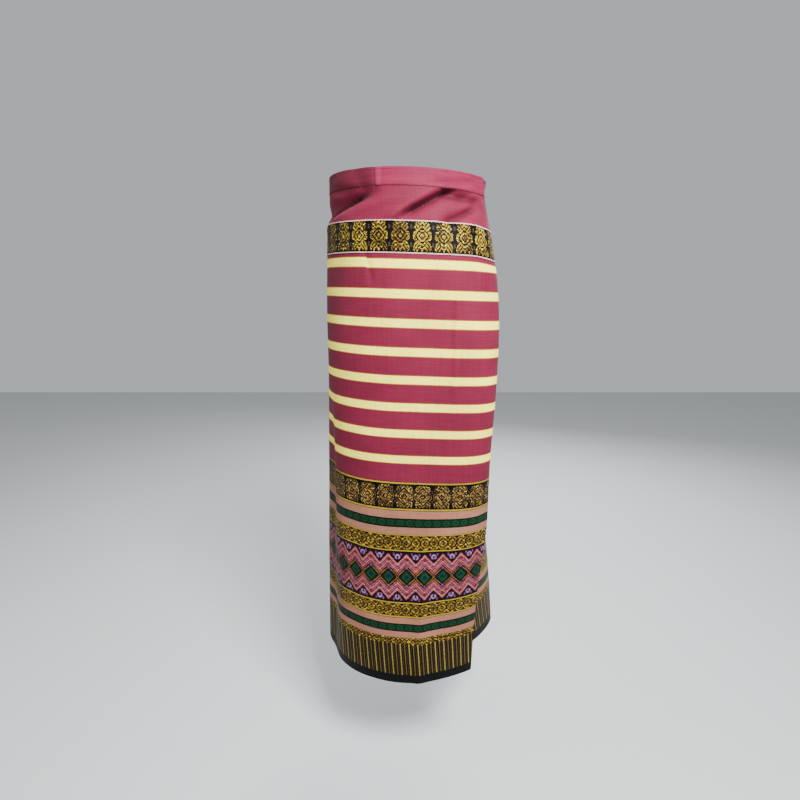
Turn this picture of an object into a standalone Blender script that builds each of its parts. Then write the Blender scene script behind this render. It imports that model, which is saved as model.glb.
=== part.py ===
"""Long wrap skirt of striped cloth with brocaded bands, in the shape it has when worn.

The cloth goes once round and laps over itself in front, as a spiral wall: it starts at
the free edge of the flap, at the right of the front, crosses the front, goes round the
left side and the back to a seam at the right side, comes in under the flap from there
and ends, hidden, behind the left of the front. The waistband and the two edging cords
run the whole way. Each other strip is an outer wrap and, past the side seam, an underlap.

Metres, +Z up. The front faces -Y. The origin is the middle of the waistband, on the
axis of the wearer's waist. Lengths called "level" are measured straight down from the
top edge of the waistband.
"""
import math

import bpy

# Sizes of the whole
SKIRT_LENGTH = 0.951
WAISTBAND_HEIGHT = 0.030
TOP_Z = WAISTBAND_HEIGHT / 2.0
CLOTH_THICKNESS = 0.0016
BAND_THICKNESS = 0.0024
EDGING_THICKNESS = 0.0026
PROUD = 0.0005
SEAM_GAP = 0.0003

# Levels of the seams between the pieces
YOKE_END = 0.0850
EDGING_HEIGHT = 0.0020
BROCADE_END = 0.1390
BODY_END = 0.5365
BORDER_END = 0.9330

# How the cloth hangs: the right hip is lower, and the layer under the flap rides up
HIP_SLOPE = 0.033
UNDER_RISE = 0.041
RISE_POWER = 1.5
RISE_START = 70.0
RISE_END = 290.0
LAP_START = 205.0
LAP_END = 258.0
INNER_EDGE_TURN = 385.0
BACK_SQUARE = 2.2

# The brocade band sags a little at its right end, and the flap's lower corner is lifted
SIDE_SAG = 0.0065
SAG_LEVELS = (0.045, 0.085, 0.135, 0.175)
SAG_X = (0.100, 0.165)
FLAP_LIFT = 0.010
LIFT_LEVELS = (0.500, 0.850)

# Half widths, depths and squareness of the level sections. A squareness of 2 is an
# ellipse. "flap" is the squareness of the free flap, "stand" is how far its edge stands
# off, "flap_x" is how far right of the axis that edge lies, and "lap" is how far inside
# the flap the layer under it lies.
SECTION_COLUMNS = (
    "level", "left", "right", "front", "back", "middle",
    "left_square", "under_square", "flap", "stand", "flap_x", "lap",
)
SECTIONS = (
    (0.000, 0.149, 0.149, 0.104, 0.100, 0.026, 1.95, 1.95, 1.95, 0.001, 0.128, 0.0036),
    (0.040, 0.150, 0.146, 0.109, 0.104, 0.027, 2.00, 1.98, 2.02, 0.002, 0.135, 0.0078),
    (0.100, 0.155, 0.155, 0.117, 0.116, 0.028, 2.10, 2.10, 2.60, 0.003, 0.146, 0.0078),
    (0.230, 0.159, 0.166, 0.123, 0.128, 0.029, 2.25, 2.45, 4.20, 0.004, 0.155, 0.0050),
    (0.360, 0.160, 0.166, 0.128, 0.124, 0.030, 2.35, 2.60, 4.40, 0.004, 0.155, 0.0040),
    (0.500, 0.164, 0.161, 0.132, 0.120, 0.030, 2.40, 2.60, 4.10, 0.004, 0.147, 0.0036),
    (0.640, 0.168, 0.165, 0.134, 0.121, 0.030, 2.35, 2.00, 3.40, 0.005, 0.145, 0.0034),
    (0.780, 0.172, 0.180, 0.135, 0.124, 0.030, 2.25, 1.65, 2.45, 0.006, 0.129, 0.0034),
    (0.951, 0.175, 0.195, 0.135, 0.128, 0.030, 2.10, 1.50, 2.00, 0.006, 0.122, 0.0034),
)

# The largest folds, each a straight line on the cloth. The columns are: across and level
# where it starts, across and level where it ends, depth, half width. "Across" is measured
# along the cloth from the front centre, positive towards the flap. A negative depth is a
# trough.
FOLDS = (
    (0.062, 0.026, -0.048, 0.090, 0.0028, 0.0090),
    (0.060, 0.034, -0.020, 0.085, -0.0044, 0.0080),
    (0.114, 0.037, 0.052, 0.087, -0.0036, 0.0080),
    (0.156, 0.046, 0.130, 0.092, -0.0026, 0.0070),
    (-0.072, 0.040, -0.260, 0.070, -0.0100, 0.0100),
    (-0.095, 0.070, -0.240, 0.090, 0.0030, 0.0110),
    (-0.163, 0.330, -0.166, 0.780, 0.0010, 0.0120),
    (-0.195, 0.330, -0.202, 1.100, -0.0110, 0.0320),
    (0.022, 0.600, 0.020, 1.060, 0.0030, 0.0130),
    (-0.330, 0.030, -0.318, 0.330, -0.0040, 0.0160),
    (-0.560, 0.030, -0.575, 0.330, -0.0040, 0.0160),
    (-0.300, 0.420, -0.290, 1.100, -0.0060, 0.0260),
    (-0.400, 0.360, -0.415, 1.100, 0.0050, 0.0280),
    (-0.500, 0.420, -0.515, 1.100, -0.0060, 0.0260),
    (-0.620, 0.450, -0.640, 1.100, 0.0040, 0.0240),
)

# A fold fades in and out over this share of its length, and reaches this many half widths
FOLD_FADE = 0.3
FOLD_REACH = 3.0

# The turn where each stretch of the spiral ends, and its columns in the mesh
STRETCHES = ((0.0, 16), (90.0, 20), (180.0, 12), (270.0, 12), (360.0, 12), (INNER_EDGE_TURN, 4))
SEAM_COLUMN = 60
FINE_STEPS = 24
TURN_STEP = 0.5
SHARP_ANGLE = 50.0

# Strips, top to bottom. One with a second name is parted at the side seam.
PIECE_COLUMNS = (
    "name", "underlap", "start", "end", "rows", "proud", "thickness", "colour", "roughness",
)
PIECES = (
    (
        "waistband", None, 0.0, WAISTBAND_HEIGHT, 2,
        PROUD, BAND_THICKNESS, (0.40, 0.10, 0.16), 0.50,
    ),
    (
        "yoke_panel", "yoke_underlap", WAISTBAND_HEIGHT, YOKE_END, 6,
        0.0, CLOTH_THICKNESS, (0.38, 0.09, 0.15), 0.50,
    ),
    (
        "band_edging_upper", None, YOKE_END, YOKE_END + EDGING_HEIGHT, 1,
        2.0 * PROUD, EDGING_THICKNESS, (0.80, 0.66, 0.56), 0.60,
    ),
    (
        "brocade_band", "brocade_underlap", YOKE_END + EDGING_HEIGHT, BROCADE_END - EDGING_HEIGHT, 3,
        PROUD, BAND_THICKNESS, (0.05, 0.035, 0.02), 0.60,
    ),
    (
        "band_edging_lower", None, BROCADE_END - EDGING_HEIGHT, BROCADE_END, 1,
        2.0 * PROUD, EDGING_THICKNESS, (0.80, 0.66, 0.56), 0.60,
    ),
    (
        "body_panel", "body_underlap", BROCADE_END, BODY_END, 10,
        0.0, CLOTH_THICKNESS, (0.36, 0.07, 0.12), 0.55,
    ),
    (
        "border_panel", "border_underlap", BODY_END, BORDER_END, 9,
        0.0, CLOTH_THICKNESS, (0.12, 0.08, 0.03), 0.60,
    ),
    (
        "hem_strip", "hem_underlap", BORDER_END, SKIRT_LENGTH, 1,
        0.0, CLOTH_THICKNESS, (0.012, 0.012, 0.012), 0.75,
    ),
)


def smooth(value):
    """Ease from 0 to 1."""
    value = min(1.0, max(0.0, value))
    return value * value * (3.0 - 2.0 * value)


def ease(value, start, end):
    """Ease from 0 at the start to 1 at the end."""
    return smooth((value - start) / (end - start))


def section_at(level):
    """Return the section's sizes at a level, on a smooth curve through the table."""
    last = len(SECTIONS) - 2
    row = 0
    while row < last and level > SECTIONS[row + 1][0]:
        row += 1
    before = SECTIONS[max(row - 1, 0)]
    start = SECTIONS[row]
    end = SECTIONS[row + 1]
    after = SECTIONS[min(row + 2, len(SECTIONS) - 1)]
    span = end[0] - start[0]
    t = (level - start[0]) / span
    sizes = {}
    for column, name in enumerate(SECTION_COLUMNS):
        slope_in = (end[column] - before[column]) / (end[0] - before[0]) * span
        slope_out = (after[column] - start[column]) / (after[0] - start[0]) * span
        sizes[name] = (
            (2.0 * t ** 3 - 3.0 * t ** 2 + 1.0) * start[column]
            + (t ** 3 - 2.0 * t ** 2 + t) * slope_in
            + (3.0 * t ** 2 - 2.0 * t ** 3) * end[column]
            + (t ** 3 - t ** 2) * slope_out
        )
    return sizes


def section_point(sizes, turn):
    """Return x and y of the bare section at a turn, in degrees from the front centre."""
    angle = math.radians(turn)
    side = -math.sin(angle)
    ahead = math.cos(angle)
    on_left = side <= 0.0
    if ahead < 0.0:
        square = BACK_SQUARE
    elif on_left:
        square = sizes["left_square"]
    elif turn < 0.0:
        square = sizes["flap"]
    else:
        square = sizes["under_square"]
    width = sizes["left"] if on_left else sizes["right"]
    depth = sizes["front"] + sizes["middle"] if ahead >= 0.0 else sizes["back"] - sizes["middle"]
    x = math.copysign(width * abs(side) ** (2.0 / square), side)
    y = sizes["middle"] - math.copysign(depth * abs(ahead) ** (2.0 / square), ahead)
    return x, y


def flap_turn(sizes):
    """Return the turn of the flap's free edge, which lies at flap_x."""
    reach = (sizes["flap_x"] / sizes["right"]) ** (sizes["flap"] / 2.0)
    return -math.degrees(math.asin(reach))


def fold_height(across, level):
    """Return how far the folds move the cloth out at a place on it."""
    height = 0.0
    for across_1, level_1, across_2, level_2, depth, half_width in FOLDS:
        run = (across_2 - across_1, level_2 - level_1)
        length = math.hypot(*run)
        offset = (across - across_1, level - level_1)
        along = (offset[0] * run[0] + offset[1] * run[1]) / length ** 2
        beside = (offset[0] * run[1] - offset[1] * run[0]) / length
        if 0.0 < along < 1.0 and abs(beside) < FOLD_REACH * half_width:
            taper = smooth(along / FOLD_FADE) * smooth((1.0 - along) / FOLD_FADE)
            height += depth * taper * math.exp(-((beside / half_width) ** 2))
    return height


def stretch_points(sizes, start, end, count):
    """Return turns from start to end that lie evenly along the cloth, and their lengths."""
    fine = count * FINE_STEPS
    turns = [start + (end - start) * i / fine for i in range(fine + 1)]
    lengths = [0.0]
    for i in range(fine):
        a = section_point(sizes, turns[i])
        b = section_point(sizes, turns[i + 1])
        lengths.append(lengths[-1] + math.hypot(b[0] - a[0], b[1] - a[1]))
    chosen = []
    i = 0
    for step in range(count + 1):
        wanted = lengths[-1] * step / count
        while i < fine - 1 and lengths[i + 1] < wanted:
            i += 1
        part = (wanted - lengths[i]) / max(lengths[i + 1] - lengths[i], 1e-9)
        chosen.append((turns[i] + (turns[i + 1] - turns[i]) * part, wanted))
    return chosen


def cloth_row(level):
    """Return the spiral's points at a level, each with its outward direction."""
    sizes = section_at(level)
    start = flap_turn(sizes)
    stops = []
    length = 0.0
    centre = 0.0
    for end, count in STRETCHES:
        piece = stretch_points(sizes, start, end, count)
        stops.extend((turn, length + run) for turn, run in piece[:-1])
        length += piece[-1][1]
        if end == 0.0:
            centre = length
        start = end
    stops.append((start, length))
    row = []
    full_rise = UNDER_RISE * (1.0 - (1.0 - level / SKIRT_LENGTH) ** RISE_POWER)
    lift = FLAP_LIFT * ease(level, *LIFT_LEVELS)
    full_sag = SIDE_SAG * ease(level, *SAG_LEVELS[:2]) * (1.0 - ease(level, *SAG_LEVELS[2:]))
    for turn, run in stops:
        across = centre - run
        rise = full_rise * ease(turn, RISE_START, RISE_END)
        rise += lift * smooth(across / max(centre, 1e-6))
        local = section_at(level - rise)
        x, y = section_point(local, turn)
        back_x, back_y = section_point(local, turn - TURN_STEP)
        next_x, next_y = section_point(local, turn + TURN_STEP)
        span = math.hypot(next_x - back_x, next_y - back_y)
        out = ((back_y - next_y) / span, (next_x - back_x) / span)
        off = fold_height(across, level)
        off += sizes["stand"] * smooth(across / max(centre, 1e-6)) ** 2
        off -= local["lap"] * ease(turn, LAP_START, LAP_END)
        z = TOP_Z - level - HIP_SLOPE * x + rise - full_sag * ease(x, *SAG_X)
        row.append(((x + out[0] * off, y + out[1] * off, z), out))
    return row


def set_back(row, edge, toward):
    """Move a row's end column half a seam gap towards the column beside it."""
    here, out = row[edge]
    beside = row[toward][0]
    share = SEAM_GAP / 2.0 / math.dist(here, beside)
    row[edge] = (tuple(a + (b - a) * share for a, b in zip(here, beside)), out)


def part_row(row, first, last):
    """Return a row's columns from first to last, set back from the side seam."""
    cut = row[first : last + 1]
    if first == SEAM_COLUMN:
        set_back(cut, 0, 1)
    if last == SEAM_COLUMN:
        set_back(cut, -1, -2)
    return cut


def make_wall(name, levels, first, last, proud, thickness, colour, roughness):
    """Make one closed wall through rows at the levels, from one column to another."""
    outer = []
    inner = []
    for level in levels:
        for (x, y, z), (out_x, out_y) in part_row(cloth_row(level), first, last):
            outer.append((x + out_x * proud, y + out_y * proud, z))
            deep = proud - thickness
            inner.append((x + out_x * deep, y + out_y * deep, z))
    rows = len(levels) - 1
    width = len(outer) // len(levels)
    shift = len(outer)
    faces = []
    for i in range(rows):
        for j in range(width - 1):
            a = i * width + j
            b = a + 1
            c = b + width
            d = a + width
            faces.append((a, b, c, d))
            faces.append((shift + d, shift + c, shift + b, shift + a))
    for j in range(width - 1):
        a = j
        faces.append((shift + a, shift + a + 1, a + 1, a))
        a = rows * width + j
        faces.append((a, a + 1, shift + a + 1, shift + a))
    for i in range(rows):
        a = i * width
        faces.append((a, a + width, shift + a + width, shift + a))
        a = i * width + width - 1
        faces.append((shift + a, shift + a + width, a + width, a))
    mesh = bpy.data.meshes.new(name)
    mesh.from_pydata(outer + inner, [], faces)
    mesh.shade_smooth()
    mesh.set_sharp_from_angle(angle=math.radians(SHARP_ANGLE))
    mesh.materials.append(make_material(name, colour, roughness))
    piece = bpy.data.objects.new(name, mesh)
    bpy.context.scene.collection.objects.link(piece)


def make_strip(name, underlap, start, end, rows, **finish):
    """Make one strip of the cloth between two levels, parted at the seam if it is two."""
    top = start + (SEAM_GAP / 2.0 if start > 0.0 else 0.0)
    bottom = end - (SEAM_GAP / 2.0 if end < SKIRT_LENGTH else 0.0)
    levels = [top + (bottom - top) * i / rows for i in range(rows + 1)]
    last = sum(count for _, count in STRETCHES)
    if underlap:
        make_wall(name, levels, 0, SEAM_COLUMN, **finish)
        make_wall(underlap, levels, SEAM_COLUMN, last, **finish)
    else:
        make_wall(name, levels, 0, last, **finish)


def make_material(name, colour, roughness):
    """Make a plain cloth material."""
    material = bpy.data.materials.new(name)
    material.use_nodes = True
    shader = material.node_tree.nodes["Principled BSDF"]
    shader.inputs["Base Color"].default_value = (*colour, 1.0)
    shader.inputs["Roughness"].default_value = roughness
    shader.inputs["Metallic"].default_value = 0.0
    return material


def main():
    """Clear the scene and make every piece."""
    for old in list(bpy.data.objects):
        bpy.data.objects.remove(old)
    for piece in PIECES:
        make_strip(**dict(zip(PIECE_COLUMNS, piece)))


main()
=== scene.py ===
"""Looks of a long wrap skirt of striped cloth with brocaded bands.

Each strip of the cloth is a thin closed shell on the form of its solid, with finer folds.
Its surface has cloth coordinates in metres: across, from the front centre towards the
flap, and level, down from the top edge of the waistband. The woven patterns are drawn
in those coordinates.
"""

import math

import bpy
import numpy as np
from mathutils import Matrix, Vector


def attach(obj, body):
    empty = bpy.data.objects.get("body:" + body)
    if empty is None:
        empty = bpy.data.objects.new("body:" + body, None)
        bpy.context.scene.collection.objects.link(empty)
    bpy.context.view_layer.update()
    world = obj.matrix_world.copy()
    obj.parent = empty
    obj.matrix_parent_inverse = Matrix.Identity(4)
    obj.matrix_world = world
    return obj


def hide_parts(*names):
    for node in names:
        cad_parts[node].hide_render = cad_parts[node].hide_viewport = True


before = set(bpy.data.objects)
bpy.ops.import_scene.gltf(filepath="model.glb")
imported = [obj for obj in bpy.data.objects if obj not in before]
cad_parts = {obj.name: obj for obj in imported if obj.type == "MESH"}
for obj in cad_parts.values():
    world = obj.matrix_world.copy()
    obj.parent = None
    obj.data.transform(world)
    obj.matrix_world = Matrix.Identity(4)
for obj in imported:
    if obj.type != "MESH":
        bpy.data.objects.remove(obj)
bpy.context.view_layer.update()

# Form of the cloth, in metres
SKIRT_LENGTH = 0.951
WAISTBAND_HEIGHT = 0.030
TOP_Z = WAISTBAND_HEIGHT / 2.0
YOKE_END = 0.0850
EDGING_HEIGHT = 0.0020
BROCADE_END = 0.1390
BAND_TOP = YOKE_END + EDGING_HEIGHT
BAND_FOOT = BROCADE_END - EDGING_HEIGHT
BODY_END = 0.5365
BORDER_END = 0.9330
SEAM_GAP = 0.0003
HIP_SLOPE = 0.033
UNDER_RISE = 0.041
RISE_POWER = 1.5
RISE_START = 70.0
RISE_END = 290.0
LAP_START = 205.0
LAP_END = 258.0
INNER_EDGE_TURN = 385.0
BACK_SQUARE = 2.2
SIDE_SAG = 0.0065
SAG_LEVELS = (0.045, 0.085, 0.135, 0.175)
SAG_X = (0.100, 0.165)
FLAP_LIFT = 0.010
LIFT_LEVELS = (0.500, 0.850)

SECTION_COLUMNS = (
    "level", "left", "right", "front", "back", "middle",
    "left_square", "under_square", "flap", "stand", "flap_x", "lap",
)
SECTIONS = np.array((
    (0.000, 0.149, 0.149, 0.104, 0.100, 0.026, 1.95, 1.95, 1.95, 0.001, 0.128, 0.0036),
    (0.040, 0.150, 0.146, 0.109, 0.104, 0.027, 2.00, 1.98, 2.02, 0.002, 0.135, 0.0078),
    (0.100, 0.155, 0.155, 0.117, 0.116, 0.028, 2.10, 2.10, 2.60, 0.003, 0.146, 0.0078),
    (0.230, 0.159, 0.166, 0.123, 0.128, 0.029, 2.25, 2.45, 4.20, 0.004, 0.155, 0.0050),
    (0.360, 0.160, 0.166, 0.128, 0.124, 0.030, 2.35, 2.60, 4.40, 0.004, 0.155, 0.0040),
    (0.500, 0.164, 0.161, 0.132, 0.120, 0.030, 2.40, 2.60, 4.10, 0.004, 0.147, 0.0036),
    (0.640, 0.168, 0.165, 0.134, 0.121, 0.030, 2.35, 2.00, 3.40, 0.005, 0.145, 0.0034),
    (0.780, 0.172, 0.180, 0.135, 0.124, 0.030, 2.25, 1.65, 2.45, 0.006, 0.129, 0.0034),
    (0.951, 0.175, 0.195, 0.135, 0.128, 0.030, 2.10, 1.50, 2.00, 0.006, 0.122, 0.0034),
))

# Folds: where each starts and ends on the cloth, its depth and its half width
FOLDS = (
    (0.062, 0.026, -0.048, 0.090, 0.0028, 0.0090),
    (0.060, 0.034, -0.020, 0.085, -0.0044, 0.0080),
    (0.114, 0.037, 0.052, 0.087, -0.0036, 0.0080),
    (0.156, 0.046, 0.130, 0.092, -0.0026, 0.0070),
    (-0.072, 0.040, -0.260, 0.070, -0.0100, 0.0100),
    (-0.095, 0.070, -0.240, 0.090, 0.0030, 0.0110),
    (-0.163, 0.330, -0.166, 0.780, 0.0010, 0.0120),
    (-0.195, 0.330, -0.202, 1.100, -0.0110, 0.0320),
    (0.022, 0.600, 0.020, 1.060, 0.0030, 0.0130),
    (-0.330, 0.030, -0.318, 0.330, -0.0040, 0.0160),
    (-0.560, 0.030, -0.575, 0.330, -0.0040, 0.0160),
    (-0.300, 0.420, -0.290, 1.100, -0.0060, 0.0260),
    (-0.400, 0.360, -0.415, 1.100, 0.0050, 0.0280),
    (-0.500, 0.420, -0.515, 1.100, -0.0060, 0.0260),
    (-0.620, 0.450, -0.640, 1.100, 0.0040, 0.0240),
)
# Small creases that only the looks have, in the same columns: in the yoke, in the
# waistband and its seam, and in the rest
YOKE_CREASES = (
    (0.092, 0.014, -0.064, 0.097, 0.0042, 0.0080),
    (0.096, 0.018, -0.034, 0.088, -0.0114, 0.0084),
    (0.150, 0.022, 0.052, 0.082, 0.0034, 0.0070),
    (0.142, 0.049, 0.040, 0.097, -0.0084, 0.0072),
    (-0.046, 0.036, -0.230, 0.086, -0.0140, 0.0080),
    (-0.010, 0.044, -0.110, 0.074, 0.0016, 0.0070),
)
BAND_CREASES = (
    (0.036, 0.040, 0.148, 0.045, -0.0085, 0.0085),
    (-0.040, 0.034, -0.185, 0.034, -0.0050, 0.0100),
    (-0.0610, -0.030, -0.0610, 0.045, -0.0016, 0.0024),
    (-0.110, -0.020, -0.080, 0.045, -0.0020, 0.0140),
    (0.020, 0.026, 0.134, 0.014, -0.0024, 0.0060),
    (-0.140, 0.019, 0.050, 0.012, -0.0009, 0.0040),
)
CREASES = (
    (0.080, 0.135, 0.078, 0.440, 0.0020, 0.0040),
    (0.106, 0.140, 0.104, 0.260, -0.0016, 0.0100),
    (-0.084, 0.120, -0.062, 0.200, -0.0018, 0.0060),
    (-0.030, 0.150, -0.034, 0.380, 0.0005, 0.0160),
    (0.140, 0.520, 0.150, 0.760, -0.0009, 0.0090),
    (0.056, 0.560, 0.062, 1.000, -0.0008, 0.0140),
    (-0.110, 0.480, -0.118, 0.920, -0.0010, 0.0160),
    (-0.246, 0.120, -0.252, 0.480, 0.0010, 0.0150),
    (-0.280, 0.200, -0.276, 0.620, -0.0011, 0.0140),
    (-0.440, 0.160, -0.452, 0.560, -0.0010, 0.0170),
    (-0.520, 0.140, -0.512, 0.440, 0.0011, 0.0150),
    (-0.660, 0.170, -0.668, 0.700, -0.0009, 0.0160),
    (-0.350, 0.036, -0.332, 0.084, 0.0012, 0.0070),
    (-0.430, 0.034, -0.446, 0.084, -0.0012, 0.0080),
    (-0.540, 0.034, -0.520, 0.086, 0.0010, 0.0080),
    (-0.640, 0.036, -0.618, 0.084, -0.0012, 0.0080),
)
# The share of a fold that tapers at each end, the levels between which the creases of
# the yoke set in, the depth from which a fold gets painted shadow along its bottom, and
# how much darker that painted shadow gets for each metre of depth
FOLD_TAPER = 0.3
CREASE_FADE = (0.028, 0.035)
SHADED_DEPTH = 0.006
FOLD_SHADOW_STRENGTH = 62.0
# The turns between which the layer under the front takes up its creases
UNDER_CREASES = (262.0, 284.0)
# Low waves of the cloth: how fast they turn across and down, in radians a metre, how
# high they are, and the run below the yoke in which they set in
WAVES = ((61.0, 9.0), (17.0, 23.0))
WAVE_HEIGHT = 0.0004
WAVE_RUN = 0.1

# The turn where each stretch of the spiral ends, and its columns in the mesh
STRETCHES = ((0.0, 52), (90.0, 78), (180.0, 60), (270.0, 60), (360.0, 62), (INNER_EDGE_TURN, 16))
SEAM_COLUMN, FULL_TURN_COLUMN, LAST_COLUMN = np.cumsum([count for _, count in STRETCHES])[3:]
FINE_STEPS = 6
TURN_STEP = 0.5
ROW_STEP = 0.0040
SHARP_ANGLE = 50.0
# Thickness of the shells
SHELL = 0.0008
BAND_SHELL = 0.0016
EDGING_SHELL = 0.0022

# Rows of stitches: their levels, how far they stand out, the bare cloth at both ends,
# the form of a stitch with its two rings of corners, and the step that shows its course
SEAM_STITCH_LEVEL = WAISTBAND_HEIGHT - 0.0024
EDGE_STITCH_LEVEL = 0.0036
STITCH_PROUD = 0.0006
STITCH_MARGIN = 0.004
STITCH_PITCH = 0.0034
STITCH_LENGTH = 0.0026
STITCH_RADIUS = 0.00028
STITCH_SIDES = 6
STITCH_RINGS = (-0.34, 0.34)
LOOK_AHEAD = 0.001

# Cloth in the light, and the relief of its threads in metres
ROUGHNESS = 0.6
SHEEN = 0.03
SHEEN_ROUGHNESS = 0.4
SPECULAR = 0.06
RELIEF = 0.00035
THREAD_PITCH = 0.0009
THREAD_HEIGHT = 0.00003
YARN_HEIGHT = 0.00008
BUMP_STRENGTH = 0.6
# Uneven yarn: how fine the slubs and the warp's streaks are across and down, how fine
# the slow changes of dye, and the share of each in how light the cloth is
SLUBS = (22.0, 330.0)
STREAKS = (240.0, 14.0)
CLOUDS = 9.0
SLUB_SHARE = 0.60
STREAK_SHARE = 0.30
CLOUD_SHARE = 0.60
LEAST_LIGHT = 0.25
# How dull the reverse is: at least, and what the slubs add
REVERSE_DULL = 0.15
REVERSE_SLUBS = 0.6
# Sewing thread
THREAD_ROUGHNESS = 0.5
THREAD_GRAIN = 900.0
THREAD_SHADES = (0.6, 1.3)

# Floor, light and camera
FLOOR_Z = -1.15
FLOOR_REACH = 4.0
FLOOR_COLOUR = (196, 198, 200)
FLOOR_ROUGHNESS = 0.9
WORLD_COLOUR = (196, 200, 202)
WORLD_STRENGTH = 0.85
# Each light's name, place, aim, size and power
LIGHTS = (
    ("key", (0.45, -1.00, 0.80), (0.0, 0.0, -0.20), 0.6, 92.0),
    ("fill", (0.8, -1.9, -0.5), (0.0, 0.0, -0.7), 1.4, 10.0),
    ("left", (-1.6, -0.1, 0.35), (0.0, 0.0, -0.3), 1.0, 10.0),
    ("back", (0.7, 1.9, 0.6), (0.0, 0.0, -0.4), 1.2, 60.0),
)
CAMERA_PLACE = (-0.017, -1.0, -0.19)
CAMERA_TILT = 11.74
CAMERA_LENS = 22.95
CAMERA_SENSOR = 36.0


def smooth(value):
    """Ease from 0 to 1."""
    value = np.clip(value, 0.0, 1.0)
    return value * value * (3.0 - 2.0 * value)


def ease(value, start, end):
    """Ease from 0 at the start to 1 at the end."""
    return smooth((value - start) / (end - start))


def sections_at(level):
    """Return the sections' sizes at levels, on a smooth curve through the table."""
    level = np.asarray(level, float)
    last = len(SECTIONS) - 2
    row = np.clip(np.searchsorted(SECTIONS[:, 0], level) - 1, 0, last)
    before = SECTIONS[np.maximum(row - 1, 0)]
    start = SECTIONS[row]
    end = SECTIONS[row + 1]
    after = SECTIONS[np.minimum(row + 2, len(SECTIONS) - 1)]
    span = (end[..., 0] - start[..., 0])[..., None]
    t = (level[..., None] - start[..., :1]) / span
    slope_in = (end - before) / (end[..., :1] - before[..., :1]) * span
    slope_out = (after - start) / (after[..., :1] - start[..., :1]) * span
    sizes = (
        (2.0 * t ** 3 - 3.0 * t ** 2 + 1.0) * start
        + (t ** 3 - 2.0 * t ** 2 + t) * slope_in
        + (3.0 * t ** 2 - 2.0 * t ** 3) * end
        + (t ** 3 - t ** 2) * slope_out
    )
    return {name: sizes[..., place] for place, name in enumerate(SECTION_COLUMNS)}


def section_points(sizes, turn):
    """Return x and y of the bare sections at turns, in degrees from the front centre."""
    angle = np.radians(turn)
    side = -np.sin(angle)
    ahead = np.cos(angle)
    on_left = side <= 0.0
    square = np.where(turn < 0.0, sizes["flap"], sizes["under_square"])
    square = np.where(on_left, sizes["left_square"], square)
    square = np.where(ahead < 0.0, BACK_SQUARE, square)
    width = np.where(on_left, sizes["left"], sizes["right"])
    front = sizes["front"] + sizes["middle"]
    back = sizes["back"] - sizes["middle"]
    depth = np.where(ahead >= 0.0, front, back)
    x = np.sign(side) * width * np.abs(side) ** (2.0 / square)
    y = sizes["middle"] - np.sign(ahead) * depth * np.abs(ahead) ** (2.0 / square)
    return x, y


def fold_height(folds, across, level):
    """Return how far the folds move the cloth out at places on it."""
    height = np.zeros_like(across)
    for across_1, level_1, across_2, level_2, depth, half_width in folds:
        run = (across_2 - across_1, level_2 - level_1)
        length = math.hypot(*run)
        along = ((across - across_1) * run[0] + (level - level_1) * run[1]) / length ** 2
        beside = ((across - across_1) * run[1] - (level - level_1) * run[0]) / length
        taper = smooth(along / FOLD_TAPER) * smooth((1.0 - along) / FOLD_TAPER)
        height += depth * taper * np.exp(-((beside / half_width) ** 2))
    return height


def front_creases(across, level):
    """Return how far the creases at the top of the front move the cloth out."""
    in_yoke = fold_height(YOKE_CREASES, across, level) * ease(level, *CREASE_FADE)
    return in_yoke + fold_height(BAND_CREASES, across, level)


def spiral_row(level):
    """Return turns evenly along the cloth at a level, and the length of cloth to each."""
    sizes = sections_at(level)
    reach = (sizes["flap_x"] / sizes["right"]) ** (sizes["flap"] / 2.0)
    start = -math.degrees(math.asin(reach))
    turns = []
    runs = []
    length = 0.0
    centre = 0.0
    for end, count in STRETCHES:
        fine = np.linspace(start, end, count * FINE_STEPS + 1)
        x, y = section_points(sizes, fine)
        lengths = np.concatenate(([0.0], np.cumsum(np.hypot(np.diff(x), np.diff(y)))))
        wanted = np.linspace(0.0, lengths[-1], count + 1)
        places = np.interp(wanted, lengths, fine)
        turns.extend(places[:-1])
        runs.extend(length + wanted[:-1])
        length += lengths[-1]
        if end == 0.0:
            centre = length
        start = end
    turns.append(start)
    runs.append(length)
    return np.array(turns), centre - np.array(runs), centre


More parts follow.
